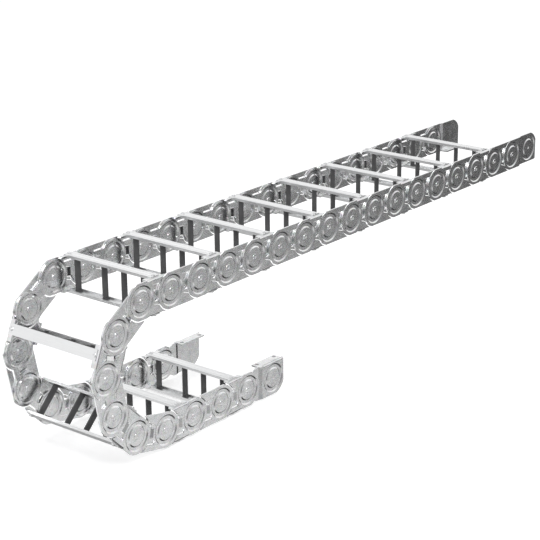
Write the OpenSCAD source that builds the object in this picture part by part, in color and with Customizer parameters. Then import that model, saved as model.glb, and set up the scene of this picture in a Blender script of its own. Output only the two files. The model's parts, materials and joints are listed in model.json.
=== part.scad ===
// Steel cable drag chain: two bands of riveted side plates, joined by crossbars with dividers between
// them, and a pair of mounting brackets at each end. The chain is drawn as it rolls in use: a short
// lower run from the fixed end, one turn of the bend, and the upper run to the moving end.
// Millimetres, +Z up. The origin is the centre of the fixed end's bolt holes, on their mounting face.

/* [Chain] */
// Distance between neighbouring pivots
pitch = 65; // [60:1:80]
// Radius of the bend, measured to the pivots
bend_radius = 112; // [105:1:160]
// Clear width between the two bands
inner_width = 175; // [165:1:400]
// Number of links between the end brackets
link_count = 24; // [14:1:24]
// Number of links that lie straight before the bend
lower_links = 3; // [2:1:6]
// A frame of crossbars stands on every one of this many links
frame_step = 2; // [2:1:4]

/* [Side plates] */
// Height of a side plate
plate_height = 57; // [54:1:66]
// Thickness of the plates' sheet
sheet = 2.5; // [2:0.1:3]
// Gap between the lapped plates
lap_gap = 0.3; // [0.3:0.05:0.6]
// How far the round lug stands past half the plate's height, before its top and bottom are cut flat
lug_crown = 1; // [0.5:0.1:2]
// Gap between a lug and the jaws around it
jaw_gap = 2; // [1.5:0.1:4]
// Width of the relief slits
slit = 2; // [1.5:0.1:3]
// Inner radius of the pressed ring
ring_inner = 15.5; // [14:0.5:16.5]
// Outer radius of the pressed ring
ring_outer = 24.5; // [23.5:0.5:25]
// Depth of the pressed ring
ring_depth = 1.3; // [0.6:0.1:1.4]
// Width of the pressed ring's slopes
ring_slope = 2.2; // [1.5:0.1:2.4]

/* [Joggle] */
// Distance from the far pivot back to the start of the joggle
joggle_back = 37; // [36:0.5:39]
// Length of the joggle's ramp
joggle_run = 7; // [5:0.5:8]
// Top of the joggled web
web_top = 8; // [6:0.5:10]
// Bottom of the joggled web
web_bottom = -6.5; // [-10:0.5:-4]
// Top of the inner plate's shoulder beside the web
shoulder_top = 17.5; // [15:0.5:19]

/* [Rivets] */
// Radius of a rivet's shank
rivet_radius = 3.5; // [3:0.1:4]
// Radius of a rivet's outer head
head_radius = 5; // [4.5:0.1:7]
// Height of a rivet's heads
head_height = 0.9; // [0.6:0.1:1.5]

/* [Crossbars] */
// Width of a crossbar along the chain
bar_width = 17; // [16:0.5:22]
// Height of a crossbar's lips, over its web
bar_height = 4.5; // [4:0.1:6]
// Wall of a crossbar
bar_wall = 2; // [1.5:0.1:2.5]
// Depth of the tabs and flange folded in from the plates
tab_depth = 10; // [9:0.5:12]
// Distance from the pivot to the start of a tab
tab_start = 13; // [12:0.5:16]
// Radius of a crossbar screw's shank
screw_radius = 2; // [1.5:0.1:2.2]
// Radius of a crossbar screw's head
screw_head = 3.3; // [2.8:0.1:3.5]
// Height of a crossbar screw's head
screw_head_height = 1.6; // [1:0.1:2.5]

/* [Dividers] */
// Width of a divider along the chain
divider_width = 11; // [8:0.5:12]
// Thickness of a divider's blade
divider_thickness = 2.2; // [1.5:0.1:3]
// Thickness of a divider's head, where it is held in the crossbar
divider_head = 6; // [4:0.5:8]
// Distance from the near band to the first divider
divider_first = 20; // [15:1:30]
// Distance between the first three dividers
divider_pitch = 40; // [30:1:45]
// Distance from the last divider to the far band
divider_last = 18; // [15:1:30]

/* [End brackets] */
// Reach of a bracket past its outer hole
bracket_reach = 27; // [24:1:32]
// Length of a mounting flange
flange_length = 57; // [54:1:60]
// Depth of a mounting flange, from the plate's outer face
flange_depth = 18; // [17:0.5:24]
// Distance between the two holes of a flange
hole_spacing = 44; // [36:1:46]
// Radius of the mounting holes
hole_radius = 3.3; // [2.2:0.1:3.5]
// Distance from the plate's outer face to the mounting holes
hole_inset = 12; // [11:0.5:12.5]
// Distance from the bracket's outer ring back to the middle of its flange
flange_back = 5; // [3:0.5:6]

/* [Hidden] */
$fn = 64;
steel = [0.72, 0.73, 0.74];
aluminium = [0.86, 0.87, 0.88];
rivet_steel = [0.6, 0.61, 0.62];
plastic = [0.23, 0.23, 0.24];

// Clearances of the fits
seat_gap = 0.02;
running_gap = 0.05;
side_gap = 0.15;
stop_gap = 0.3;
slack = 0.2;
cut = 5;

// Sheet planes, counted inward from the band's outer face
inner_plane = sheet + lap_gap;
band_depth = inner_plane + sheet;
overall_width = inner_width + 2 * band_depth;
half_height = plate_height / 2;
lug_radius = half_height + lug_crown;
jaw_radius = lug_radius + jaw_gap;
jaw_tip = sqrt(pow(jaw_radius, 2) - pow(half_height, 2));
joggle_start = pitch - joggle_back;
joggle_end = joggle_start + joggle_run;
joggle_lap = 3;
inner_lug = joggle_start - 0.5;
shoulder_radius = inner_lug + 1;
// The stop boss and its slot fit in the flat bottom of the pressed ring
stop_distance = (ring_inner + ring_outer) / 2;
stop_radius = (ring_outer - ring_inner) / 2 - ring_slope - 2 * stop_gap;
fold_radius = sheet + 0.5;

// Frame parts, in the link's own frame
tab_end = pitch - jaw_tip - 4;
bar_place = pitch / 2;
bar_top = half_height + bar_wall;
bar_length = overall_width - 2 * sheet - 2 * slack;
bar_groove = 0.8;
divider_places = concat(
    [for (k = [0 : 2]) divider_first + k * divider_pitch],
    [inner_width - divider_last]
);
screw_inset = (sheet + tab_depth) / 2 + 0.5;
screw_end = 0.5;

// Bracket parts
flange_x = flange_back - flange_length / 2;
neck_end = 14;
neck_slope = 10;
dimple_depth = sheet / 2;

// How the chain lies
link_bend = 2 * asin(pitch / 2 / bend_radius);
full_bends = floor(180 / link_bend);
lead_in = 180 - full_bends * link_bend;
first_bend = lower_links + 1;
start = [flange_back, 0, -half_height];

function bend_at(j) =
    j == first_bend ? lead_in
    : j > first_bend && j <= first_bend + full_bends ? link_bend
    : 0;
function heading(i) = i == 0 ? 180 : heading(i - 1) - bend_at(i);
function step(i) = pitch * [cos(heading(i)), 0, sin(heading(i))];
function joint_place(j) = j == 0 ? start : joint_place(j - 1) + step(j - 1);

function two_digits(i) = str(i < 10 ? "0" : "", i);
function link_name(i) = str("link_", two_digits(i));
function bars_name(i) = str("crossbars_", two_digits(i));
function dividers_name(i) = str("dividers_", two_digits(i));
framed_links = [for (i = [1 : frame_step : link_count]) i];

// ---- Placing ----

// Puts its children, drawn in a link's own frame, at link i. The frame's origin is the link's own
// pivot, x runs to the next pivot, and z points to the outside of the bend.
module at_link(i) {
    translate(joint_place(i)) rotate([0, -heading(i), 0]) children();
}

// Draws its children, made for the near band with its outer face at y = 0, on both bands
module both_bands() {
    for (side = [0, 1])
        mirror([0, side, 0]) translate([0, -overall_width / 2, 0]) children();
}

// Draws its children on the outside and the inside of the bend
module both_edges() {
    for (side = [0, 1])
        mirror([0, 0, side]) children();
}

// Extrudes an outline in x and z, from a depth y inward
module plate(y, thickness) {
    translate([0, y + thickness, 0]) rotate([90, 0, 0]) linear_extrude(thickness) children();
}

// Turns a profile of radius and depth about a pivot
module turned(x) {
    translate([x, 0, 0]) rotate([-90, 0, 0]) rotate_extrude() children();
}

// A straight bore through the sheets at x
module pivot_bore(x, radius) {
    translate([x, -cut, 0]) rotate([-90, 0, 0]) cylinder(r = radius, h = band_depth + 2 * cut);
}

// ---- Sheet metal forms ----

// Profile of the pressed ring, sunk from a face at the given depth. A direction of -1 sinks it outward.
module ring_profile(face, direction) {
    polygon([
        [ring_inner, face - direction],
        [ring_outer, face - direction],
        [ring_outer, face],
        [ring_outer - ring_slope, face + direction * ring_depth],
        [ring_inner + ring_slope, face + direction * ring_depth],
        [ring_inner, face]
    ]);
}

// Joggle from the outer plane to the inner plane, with a short flat at each end to lap the plates
module joggle(x, bottom, top) {
    bend_shift = sheet * tan(atan(inner_plane / joggle_run) / 2);
    translate([x, 0, bottom]) linear_extrude(top - bottom) polygon([
        [-joggle_lap, 0],
        [0, 0],
        [joggle_run, inner_plane],
        [joggle_run + joggle_lap, inner_plane],
        [joggle_run + joggle_lap, band_depth],
        [joggle_run - bend_shift, band_depth],
        [-bend_shift, sheet],
        [-joggle_lap, sheet]
    ]);
}

// A strip folded in from the top edge of a plate whose outer face lies at depth y
module folded_strip(x, length, y, depth) {
    translate([x, y, half_height - sheet]) cube([length, depth, sheet]);
}

// What the fold's round outer edge takes off the square corner
module fold_corner(x, length, y) {
    translate([x, y, half_height]) rotate([90, 0, 90]) linear_extrude(length)
        difference() {
            translate([-1, -fold_radius]) square([fold_radius + 1, fold_radius + 1]);
            translate([fold_radius, -fold_radius]) circle(fold_radius);
            translate([fold_radius, -2 * fold_radius]) square([fold_radius, fold_radius * 2]);
        }
}

// Round lug with its top and bottom cut flat
module lug_outline() {
    intersection() {
        circle(lug_radius);
        square([2 * lug_radius + 2, plate_height], center = true);
    }
}

// ---- Link ----

// Outer plane of a link: lug, body and the two jaws around the next lug
module link_outline() {
    difference() {
        union() {
            lug_outline();
            translate([0, -half_height]) square([pitch, plate_height]);
        }
        translate([pitch, 0]) circle(jaw_radius);
        web_window();
        lower_slit();
    }
}

// Opening in the outer plane through which the web and its shoulder drop to the inner plane
module web_window() {
    left = joggle_start - joggle_lap - slit / 2;
    polygon([
        [left, shoulder_top + slit],
        [left, shoulder_top - slit / 2],
        [joggle_start - slit / 2, web_top],
        [joggle_start, web_top],
        [joggle_start, web_bottom - slit],
        [pitch, web_bottom - slit],
        [pitch, shoulder_top + slit]
    ]);
}

// Narrow slit in the lower jaw, from the arc back under the web
module lower_slit() {
    tongue = 6;
    slope = 18;
    translate([joggle_start - joggle_lap / 2, web_bottom - slit - tongue / 2]) rotate(-slope) {
        translate([0, -slit / 4]) square([pitch / 3, slit / 2]);
        circle(slit / 4);
    }
}

// Where the shoulder's edge, which keeps clear of the last link's inner lug, reaches height z
function shoulder_edge(z) = [sqrt(pow(shoulder_radius, 2) - pow(z, 2)), z];

// Inner plane of a link: shoulder, strip and the lug that the next link turns on
module link_inner_outline() {
    polygon([
        shoulder_edge(shoulder_top),
        shoulder_edge(web_top + slit),
        [joggle_end, web_top + slit / 2],
        [joggle_end, web_bottom],
        [pitch, web_bottom],
        [pitch, shoulder_top]
    ]);
    translate([pitch, 0]) circle(inner_lug);
}

// Boss pressed inward, which runs in the next sheet's curved slot
module stop_boss() {
    root = 0.5;
    height = lap_gap + sheet - ring_depth;
    rotate([0, -link_bend / 2, 0]) translate([stop_distance, sheet - root, 0])
        rotate([-90, 0, 0]) cylinder(r = stop_radius, h = root + height);
}

// Curved slot around the far pivot, as long as one link can turn on the next
module stop_slot(x) {
    width = stop_radius + stop_gap;
    translate([x, inner_plane - cut, 0]) rotate([-90, 0, 0]) {
        rotate([0, 0, -link_bend / 2]) rotate_extrude(angle = link_bend)
            translate([stop_distance - width, 0]) square([2 * width, sheet + 2 * cut]);
        for (end = [-1, 1])
            rotate([0, 0, end * link_bend / 2]) translate([stop_distance, 0, 0])
                cylinder(r = width, h = sheet + 2 * cut);
    }
}

// Outer half of a hinge: pressed ring and a close hole for the rivet
module outer_hinge_cuts() {
    turned(0) ring_profile(0, 1);
    pivot_bore(0, rivet_radius + seat_gap);
}

// Inner half of a hinge: pressed ring, running hole and stop slot
module inner_hinge_cuts(x) {
    turned(x) ring_profile(band_depth, -1);
    pivot_bore(x, rivet_radius + running_gap);
    stop_slot(x);
}

module side_plate(framed) {
    difference() {
        union() {
            plate(0, sheet) link_outline();
            plate(inner_plane, sheet) link_inner_outline();
            joggle(joggle_start, web_bottom, web_top);
            stop_boss();
            if (framed)
                both_edges() folded_strip(tab_start, tab_end - tab_start, 0, tab_depth);
        }
        outer_hinge_cuts();
        inner_hinge_cuts(pitch);
        if (framed)
            both_edges() {
                fold_corner(tab_start, tab_end - tab_start, 0);
                screw_hole();
            }
    }
}

// Rivet through the outer lug and the last link's inner lug, with a dimpled outer head
module rivet() {
    chamfer = head_height / 2;
    inner_face = band_depth + side_gap;
    turned(0) polygon([
        [0, slack],
        [head_radius / 4, slack],
        [head_radius / 2, -head_height],
        [head_radius - chamfer, -head_height],
        [head_radius, -chamfer],
        [head_radius, -seat_gap],
        [rivet_radius, -seat_gap],
        [rivet_radius, inner_face],
        [head_radius, inner_face],
        [head_radius, inner_face + chamfer],
        [head_radius - chamfer, inner_face + head_height],
        [0, inner_face + head_height]
    ]);
}

module link(i) {
    framed = (i - 1) % frame_step == 0;
    at_link(i) both_bands() {
        color(steel) side_plate(framed);
        color(rivet_steel) rivet();
    }
}

// ---- Crossbars and dividers ----

// Hole in a tab for the crossbar's screw
module screw_hole() {
    translate([bar_place, screw_inset, half_height - sheet - cut])
        cylinder(r = screw_radius + running_gap, h = 2 * cut + sheet);
}

// Screw through the bar and the tab, with a hexagon socket in its head
module screw() {
    translate([bar_place, screw_inset, 0]) {
        translate([0, 0, half_height - sheet - screw_end])
            cylinder(r = screw_radius, h = screw_end + sheet + bar_wall + screw_head_height / 3);
        translate([0, 0, bar_top + seat_gap]) difference() {
            cylinder(r = screw_head, h = screw_head_height);
            translate([0, 0, screw_head_height / 2]) cylinder(r = screw_head / 2, h = cut, $fn = 6);
        }
    }
}

// Channel across the chain, its web over the tabs and its lips between the tabs
module crossbar() {
    lip_length = overall_width - 2 * tab_depth - 2 * slack;
    translate([bar_place - bar_width / 2, 0, 0]) {
        difference() {
            translate([0, -bar_length / 2, half_height + seat_gap])
                cube([bar_width, bar_length, bar_wall - seat_gap]);
            for (groove = [1, 3])
                translate([groove * bar_width / 4 - bar_groove / 2, -bar_length, bar_top - bar_groove / 2])
                    cube([bar_groove, 2 * bar_length, bar_groove]);
        }
        for (x = [0, bar_width - bar_wall])
            translate([x, -lip_length / 2, bar_top - bar_height])
                cube([bar_wall, lip_length, bar_height]);
    }
}

module crossbars(i) {
    at_link(i) both_edges() {
        color(aluminium) difference() {
            crossbar();
            both_bands() screw_hole();
        }
        color(rivet_steel) both_bands() screw();
    }
}

// Blade between the two crossbars, with a head held between each crossbar's lips
module divider() {
    head_width = bar_width - 2 * bar_wall - 2 * slack;
    head_bottom = bar_top - bar_height;
    translate([bar_place, 0, 0]) {
        cube([divider_width, divider_thickness, 2 * head_bottom + slack], center = true);
        both_edges() translate([-head_width / 2, -divider_head / 2, head_bottom])
            cube([head_width, divider_head, half_height - side_gap - head_bottom]);
    }
}

module dividers(i) {
    at_link(i) color(plastic)
        for (place = divider_places)
            translate([0, place - inner_width / 2, 0]) divider();
}

// ---- End brackets ----

// Mounting holes through a flange, centred at x
module flange_holes(x, y) {
    for (end = [-1, 1])
        translate([x + end * hole_spacing / 2, y, -half_height - cut])
            cylinder(r = hole_radius, h = 2 * cut + sheet);
}

// Blind dimple in the middle of a bracket's outer ring, which carries no rivet
module dimple(x, face) {
    turned(x) polygon([
        [0, face - dimple_depth],
        [head_radius / 2, face - dimple_depth],
        [head_radius / 2, face],
        [head_radius / 4, face + dimple_depth],
        [0, face + dimple_depth]
    ]);
}

// Inner plane beside the last link: full height at the joggle, then chamfered down to the lug
module bracket_neck() {
    end = pitch - neck_end;
    end_height = sqrt(pow(inner_lug, 2) - pow(neck_end, 2));
    polygon([
        [joggle_end, half_height],
        [end - neck_slope, half_height],
        [end, end_height],
        [end, -end_height],
        [end - neck_slope, -half_height],
        [joggle_end, -half_height]
    ]);
}

// Bracket at the fixed end. Its own ring is at the origin and its inner lug at the first joint.
module fixed_bracket() {
    difference() {
        union() {
            plate(0, sheet) {
                intersection() {
                    circle(lug_radius);
                    translate([-bracket_reach, -half_height]) square([lug_radius + pitch, plate_height]);
                }
                translate([-bracket_reach, -half_height]) square([bracket_reach, half_height]);
                translate([0, -half_height]) square([joggle_start, plate_height]);
            }
            joggle(joggle_start, -half_height, half_height);
            plate(inner_plane, sheet) {
                bracket_neck();
                translate([pitch, 0]) circle(inner_lug);
            }
            mirror([0, 0, 1]) folded_strip(flange_x, flange_length, 0, flange_depth);
        }
        turned(0) ring_profile(0, 1);
        dimple(0, 0);
        inner_hinge_cuts(pitch);
        mirror([0, 0, 1]) fold_corner(flange_x - cut, joggle_start - joggle_lap - flange_x + cut, 0);
        flange_holes(flange_back, hole_inset);
    }
}

module fixed_end_brackets() {
    at_link(0) both_bands() color(steel) fixed_bracket();
}

// Bracket at the moving end. Its outer lug turns on the last link, and its own ring is one pitch on.
module moving_bracket() {
    moving_flange_x = pitch - flange_x - flange_length;
    flange_end = pitch + bracket_reach;
    difference() {
        union() {
            plate(0, sheet) {
                lug_outline();
                translate([0, -half_height]) square([joggle_start, plate_height]);
            }
            joggle(joggle_start, -half_height, half_height);
            plate(inner_plane, sheet) {
                translate([joggle_end, -half_height])
                    square([flange_end - joggle_end, half_height]);
                translate([joggle_end, -half_height]) square([pitch - joggle_end, plate_height]);
                intersection() {
                    translate([pitch, 0]) circle(lug_radius);
                    translate([0, -half_height]) square([flange_end, plate_height]);
                }
            }
            stop_boss();
            mirror([0, 0, 1])
                folded_strip(moving_flange_x, flange_length, inner_plane, flange_depth - inner_plane);
        }
        outer_hinge_cuts();
        turned(pitch) ring_profile(inner_plane, 1);
        dimple(pitch, inner_plane);
        mirror([0, 0, 1]) fold_corner(moving_flange_x, flange_end - moving_flange_x + cut, inner_plane);
        flange_holes(pitch - flange_back, hole_inset);
    }
}

module moving_end_brackets() {
    at_link(link_count + 1) both_bands() {
        color(steel) moving_bracket();
        color(rivet_steel) rivet();
    }
}

fixed_end_brackets();
moving_end_brackets();
for (i = [1 : link_count])
    link(i);
for (i = framed_links)
    crossbars(i);
for (i = framed_links)
    dividers(i);
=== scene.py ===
"""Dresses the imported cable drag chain, and sets it in a pale studio.

The plates and rivets are bright pressed steel, the crossbars extruded aluminium, and the dividers
matt plastic. No shapes are added to the CAD's.
"""

import json
import math

import bpy
from mathutils import Matrix, Vector

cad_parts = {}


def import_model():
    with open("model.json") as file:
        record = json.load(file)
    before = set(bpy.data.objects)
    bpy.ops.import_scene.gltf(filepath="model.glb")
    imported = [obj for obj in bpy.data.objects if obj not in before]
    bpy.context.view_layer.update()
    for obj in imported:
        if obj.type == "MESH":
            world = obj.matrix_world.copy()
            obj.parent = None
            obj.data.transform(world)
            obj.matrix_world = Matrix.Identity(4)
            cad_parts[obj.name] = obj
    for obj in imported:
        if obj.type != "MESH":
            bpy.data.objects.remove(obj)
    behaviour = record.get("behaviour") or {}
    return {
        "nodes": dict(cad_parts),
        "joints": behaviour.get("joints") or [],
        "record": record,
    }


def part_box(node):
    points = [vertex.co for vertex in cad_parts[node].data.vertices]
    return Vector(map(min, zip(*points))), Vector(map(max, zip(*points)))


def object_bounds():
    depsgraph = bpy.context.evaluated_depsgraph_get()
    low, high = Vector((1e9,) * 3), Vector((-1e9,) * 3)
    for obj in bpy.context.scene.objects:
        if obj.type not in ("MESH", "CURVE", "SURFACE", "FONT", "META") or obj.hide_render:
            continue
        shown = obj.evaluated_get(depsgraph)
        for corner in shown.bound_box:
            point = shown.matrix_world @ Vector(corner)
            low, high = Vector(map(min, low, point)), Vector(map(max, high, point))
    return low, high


# Camera, in degrees: azimuth 0 looks along +Y, and a positive elevation looks down
CAMERA_AZIMUTH = -51.2
CAMERA_ELEVATION = 18.83
CAMERA_ROLL = -0.48
FIELD_OF_VIEW = 18.54
# The camera's place, in pitches of the chain from the fixed end's outer pivot on the near band
CAMERA_PLACE = Vector((-29.93, -23.99, 15.93))

# Linear colours
STEEL = (0.84, 0.845, 0.85)
ALUMINIUM = (0.89, 0.895, 0.90)
PLASTIC = (0.09, 0.09, 0.092)
FLOOR = (0.8, 0.8, 0.805)

# Lowest and highest roughness of each finish, from patch to patch
PLATE_ROUGHNESS = (0.10, 0.22)
BRACKET_ROUGHNESS = (0.12, 0.24)
BAR_ROUGHNESS = (0.24, 0.36)
DIVIDER_ROUGHNESS = (0.5, 0.65)
# How much of the zinc's spangle shows
SPANGLE = 0.12

# From the floor's middle to its edges, and from its top up to the chain, in metres
FLOOR_REACH = 40
FLOOR_GAP = 0.0005
# Brings the far floor up to white where the camera sees it
FLOOR_GLOW = 0.46
# Strength of the world's even light on all that doesn't mirror it
FILL = 0.7

# The studio that metal mirrors, by height of the direction from straight down, -1, to straight up,
# 1: strengths of a dark floor, a lit strip beside the object and its dark far edge, the white walls
# and the greyer ceiling
BANDS = (
    (-0.72, 0.06),
    (-0.55, 0.92),
    (-0.42, 0.92),
    (-0.24, 0.08),
    (-0.13, 0.08),
    (-0.05, 1.0),
    (0.55, 1.0),
    (0.95, 0.5),
)
DARK_FLOOR = BANDS[0][1]
FRONT_WALL = 0.35
# Nothing that only the other views' plates mirror is darker than this
OTHER_SIDES = 0.28
# Where each of its parts begins and where it is full, along one axis of the direction
STRIPS_BESIDE = (0.42, 0.54)  # Y, either way
WALLS_ABOVE = (-0.13, -0.06)  # Z
WHITE_LEFT = (0.1, -0.1)  # X
WHITE_BELOW = (-0.32, -0.45)  # Z
FRONT = (-0.7, -1.0)  # Y
BEHIND_OTHERS = (0.5, 0.7)  # Y
LEFT_OTHERS = (-0.3, -0.5)  # X
FRONT_OTHERS = (-0.7, -0.85)  # Y


def bounds_as_lists():
    return [list(corner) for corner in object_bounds()]


# ---- Materials ----


class Nodes:
    """Short helpers that add nodes to one node tree."""

    def __init__(self, tree):
        self.tree = tree
        tree.nodes.clear()

    def add(self, kind, inputs=None, **settings):
        node = self.tree.nodes.new(kind)
        for name, value in settings.items():
            setattr(node, name, value)
        for name, value in (inputs or {}).items():
            if isinstance(value, bpy.types.NodeSocket):
                self.tree.links.new(value, node.inputs[name])
            else:
                node.inputs[name].default_value = value
        return node

    def place(self, stretch=(1, 1, 1)):
        """Object coordinates, stretched so that a texture runs in streaks."""
        place = self.add("ShaderNodeTexCoord").outputs["Object"]
        return self.add("ShaderNodeMapping", {"Vector": place, "Scale": stretch}).outputs["Vector"]

    def noise(self, vector, scale, detail=3.0):
        inputs = {"Vector": vector, "Scale": scale, "Detail": detail, "Roughness": 0.5}
        return self.add("ShaderNodeTexNoise", inputs).outputs["Fac"]

    def shades(self, colour, fac, start, end, dark, light=1.0):
        """From dark to light times a colour, as fac goes from start to end."""
        node = self.add("ShaderNodeValToRGB", {"Fac": fac})
        for stop, position, shade in zip(node.color_ramp.elements, (start, end), (dark, light)):
            stop.position = position
            stop.color = (*(channel * shade for channel in colour), 1.0)
        return node.outputs["Color"]

    def between(self, value, start, end, low=0.0, high=1.0):
        """Takes start to end onto low to high, and holds low and high beyond them."""
        inputs = {"Value": value, "From Min": start, "From Max": end, "To Min": low, "To Max": high}
        return self.add("ShaderNodeMapRange", inputs).outputs["Result"]

    def remap(self, value, low, high):
        """Takes 0 to 1 onto low to high."""
        return self.between(value, 0.0, 1.0, low, high)

    def math(self, operation, *values):
        node = self.add("ShaderNodeMath", dict(enumerate(values)), operation=operation)
        return node.outputs["Value"]

    def largest(self, first, *others):
        for other in others:
            first = self.math("MAXIMUM", first, other)
        return first

    def blend(self, factor, low, high):
        inputs = {"Factor": factor, "A": low, "B": high}
        return self.add("ShaderNodeMix", inputs).outputs["Result"]


def new_material(name):
    material = bpy.data.materials.new(name)
    material.use_nodes = True
    return material, Nodes(material.node_tree)


def finish_material(nodes, shader, height, distance, strength):
    """Adds the bump and the output to a shader."""
    inputs = {"Height": height, "Distance": distance, "Strength": strength}
    bump = nodes.add("ShaderNodeBump", inputs)
    nodes.tree.links.new(bump.outputs["Normal"], shader.inputs["Normal"])
    nodes.add("ShaderNodeOutputMaterial", {"Surface": shader.outputs["BSDF"]})


def pressed_steel(name, roughness):
    """Bright zinc-plated sheet: cloudy plating with a faint spangle, and fine rolling marks."""
    material, nodes = new_material(name)
    clouds = nodes.noise(nodes.place(), scale=55, detail=4)
    rolling = nodes.noise(nodes.place(stretch=(0.35, 1, 9)), scale=320, detail=2)
    cells = nodes.add("ShaderNodeTexVoronoi", {"Vector": nodes.place(), "Scale": 260.0})
    plating = nodes.shades(STEEL, clouds, start=0.35, end=0.68, dark=0.86, light=1.08)
    spangled = nodes.add(
        "ShaderNodeMix",
        {"Factor": SPANGLE, "A": plating, "B": cells.outputs["Color"]},
        data_type="RGBA",
        blend_type="OVERLAY",
    )
    shader = nodes.add(
        "ShaderNodeBsdfPrincipled",
        {
            "Base Color": spangled.outputs["Result"],
            "Metallic": 1.0,
            "Roughness": nodes.remap(clouds, *roughness),
        },
    )
    finish_material(nodes, shader, height=rolling, distance=0.0002, strength=0.4)
    return material


def extruded_aluminium(name):
    """Plain extrusion with faint die lines along the bar."""
    material, nodes = new_material(name)
    die_lines = nodes.noise(nodes.place(stretch=(14, 0.2, 14)), scale=180, detail=2)
    clouds = nodes.noise(nodes.place(), scale=30)
    shader = nodes.add(
        "ShaderNodeBsdfPrincipled",
        {
            "Base Color": nodes.shades(ALUMINIUM, die_lines, start=0.3, end=0.7, dark=0.93),
            "Metallic": 1.0,
            "Roughness": nodes.remap(clouds, *BAR_ROUGHNESS),
        },
    )
    finish_material(nodes, shader, height=die_lines, distance=0.0001, strength=0.3)
    return material


def moulded_plastic(name):
    """Matt dark plastic with a fine moulded grain."""
    material, nodes = new_material(name)
    grain = nodes.noise(nodes.place(), scale=900, detail=2)
    patches = nodes.noise(nodes.place(), scale=40)
    colour = nodes.shades(PLASTIC, patches, start=0.3, end=0.7, dark=0.85, light=1.2)
    shader = nodes.add(
        "ShaderNodeBsdfPrincipled",
        {"Base Color": colour, "Roughness": nodes.remap(grain, *DIVIDER_ROUGHNESS)},
    )
    finish_material(nodes, shader, height=grain, distance=0.0001, strength=0.35)
    return material


def dress(frame):
    """Gives each CAD node the finish of its material slot."""
    finishes = {
        "plate_steel": pressed_steel("plate_steel_finish", PLATE_ROUGHNESS),
        "bracket_steel": pressed_steel("bracket_steel_finish", BRACKET_ROUGHNESS),
        "bar_aluminium": extruded_aluminium("bar_aluminium_finish"),
        "divider_plastic": moulded_plastic("divider_plastic_finish"),
    }
    slots = {part["node"]: part["material_slot"] for part in frame["record"]["subparts"]}
    for name, piece in frame["nodes"].items():
        for slot in piece.material_slots:
            slot.material = finishes[slots[name]]


# ---- Studio ----


def camera_axes():
    """Right, up and backward axes of the camera."""
    angles = (CAMERA_AZIMUTH, CAMERA_ELEVATION, CAMERA_ROLL)
    azimuth, elevation, roll = (math.radians(angle) for angle in angles)
    level = Vector((-math.sin(azimuth), math.cos(azimuth), 0))
    forward = level * math.cos(elevation) - Vector((0, 0, math.sin(elevation)))
    right = Vector((math.cos(azimuth), math.sin(azimuth), 0))
    up = right.cross(forward)
    turned_right = right * math.cos(roll) + up * math.sin(roll)
    turned_up = up * math.cos(roll) - right * math.sin(roll)
    return turned_right, turned_up, -forward


def add_camera(frame):
    """Looks at the chain from the left, the front and above."""
    places = {joint["name"]: Vector(joint["pos_m"]) for joint in frame["joints"]}
    pitch = (places["pivot_02"] - places["pivot_01"]).length
    fixed_pivot = places["pivot_01"] + Vector((pitch, 0, 0))
    fixed_pivot.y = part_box("fixed_end_brackets")[0].y
    data = bpy.data.cameras.new("camera")
    data.angle = math.radians(FIELD_OF_VIEW)
    camera = bpy.data.objects.new("camera", data)
    bpy.context.scene.collection.objects.link(camera)
    turn = Matrix(camera_axes()).transposed().to_4x4()
    camera.matrix_world = Matrix.Translation(fixed_pivot + CAMERA_PLACE * pitch) @ turn
    bpy.context.scene.camera = camera


def seen_directly(nodes):
    """1 where the camera sees a surface itself or through glass, and 0 elsewhere."""
    path = nodes.add("ShaderNodeLightPath").outputs
    return nodes.largest(path["Is Camera Ray"], path["Is Transmission Ray"])


def add_floor(low):
    """A pale floor that reads as white and keeps a soft shadow. Metal mirrors the world instead."""
    mesh = bpy.data.meshes.new("floor")
    signs = ((-1, -1), (1, -1), (1, 1), (-1, 1))
    corners = [(x * FLOOR_REACH, y * FLOOR_REACH, 0) for x, y in signs]
    mesh.from_pydata(corners, [], [(0, 1, 2, 3)])
    floor = bpy.data.objects.new("floor", mesh)
    floor.location.z = low.z - FLOOR_GAP
    floor.visible_glossy = False
    bpy.context.scene.collection.objects.link(floor)
    material, nodes = new_material("floor_paper")
    paper = nodes.add("ShaderNodeBsdfDiffuse", {"Color": (*FLOOR, 1)})
    glow = nodes.add(
        "ShaderNodeEmission",
        {"Color": (1, 1, 1, 1), "Strength": nodes.remap(seen_directly(nodes), 0.0, FLOOR_GLOW)},
    )
    both = nodes.add("ShaderNodeAddShader", {0: paper.outputs["BSDF"], 1: glow.outputs["Emission"]})
    nodes.add("ShaderNodeOutputMaterial", {"Surface": both.outputs["Shader"]})
    mesh.materials.append(material)


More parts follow.
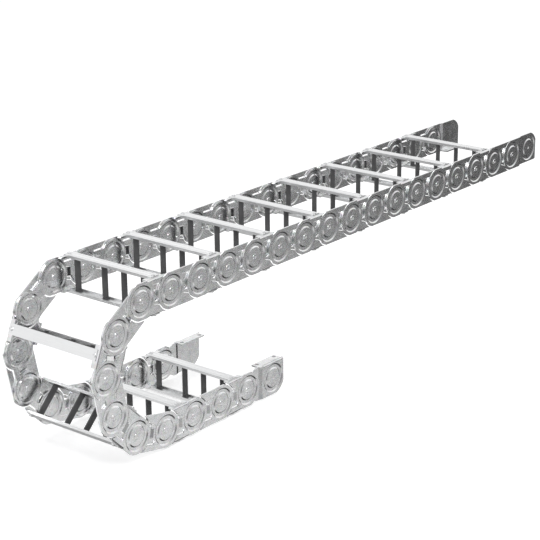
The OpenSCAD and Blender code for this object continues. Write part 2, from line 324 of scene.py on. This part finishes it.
def studio_as_metal_sees_it(nodes):
    """A dark floor with a lit strip on each side, white walls, and a greyer ceiling and front."""
    direction = nodes.add("ShaderNodeTexCoord").outputs["Generated"]
    axes = nodes.add("ShaderNodeSeparateXYZ", {"Vector": direction}).outputs
    x, y, z = axes["X"], axes["Y"], axes["Z"]
    ramp = nodes.add("ShaderNodeValToRGB", {"Fac": nodes.between(z, -1.0, 1.0)})
    stops = ramp.color_ramp.elements
    while len(stops) < len(BANDS):
        stops.new(1.0)
    for stop, (height, strength) in zip(stops, BANDS):
        stop.position = (height + 1) / 2
        stop.color = (strength, strength, strength, 1.0)

    beside = nodes.between(nodes.math("ABSOLUTE", y), *STRIPS_BESIDE)
    above = nodes.between(z, *WALLS_ABOVE)
    strength = nodes.blend(nodes.largest(beside, above), DARK_FLOOR, ramp.outputs["Color"])
    left = nodes.between(x, *WHITE_LEFT)
    low_left = nodes.math("MULTIPLY", left, nodes.between(z, *WHITE_BELOW))
    strength = nodes.blend(low_left, strength, 1.0)
    front = nodes.between(y, *FRONT, 1.0, FRONT_WALL)
    strength = nodes.math("MULTIPLY", strength, front)

    others = nodes.largest(
        nodes.between(y, *BEHIND_OTHERS),
        nodes.between(x, *LEFT_OTHERS),
        nodes.between(y, *FRONT_OTHERS),
    )
    return nodes.largest(strength, nodes.remap(others, 0.0, OTHER_SIDES))


def add_world():
    """White where the camera and glass see it, a studio where metal does, and a fill elsewhere."""
    world = bpy.data.worlds.new("studio")
    world.use_nodes = True
    bpy.context.scene.world = world
    nodes = Nodes(world.node_tree)
    plain = nodes.remap(seen_directly(nodes), FILL, 1.0)
    glossy = nodes.add("ShaderNodeLightPath").outputs["Is Glossy Ray"]
    strength = nodes.blend(glossy, plain, studio_as_metal_sees_it(nodes))
    inputs = {"Color": (1, 1, 1, 1), "Strength": strength}
    background = nodes.add("ShaderNodeBackground", inputs)
    nodes.add("ShaderNodeOutputWorld", {"Surface": background.outputs["Background"]})


def add_softbox(name, target, offset, size, power):
    """A square lamp at an offset from its target, in metres, turned to face it."""
    data = bpy.data.lights.new(name, "AREA")
    data.size = size
    data.energy = power
    lamp = bpy.data.objects.new(name, data)
    lamp.location = target + Vector(offset)
    lamp.rotation_euler = (target - lamp.location).to_track_quat("-Z", "Y").to_euler()
    bpy.context.scene.collection.objects.link(lamp)


def add_lamps(low, high):
    middle = (low + high) / 2
    bend = Vector((low.x, 0, middle.z))
    add_softbox("key_softbox", bend, offset=(-0.5, -1.0, 1.5), size=0.9, power=12)
    add_softbox("top_softbox", middle, offset=(0.2, 0.7, 2.0), size=1.4, power=10)


def main():
    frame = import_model()
    cad_box = bounds_as_lists()
    low, high = (Vector(corner) for corner in cad_box)
    add_camera(frame)
    dress(frame)
    add_world()
    add_floor(low)
    add_lamps(low, high)
    bpy.context.scene.view_settings.view_transform = "Standard"


main()
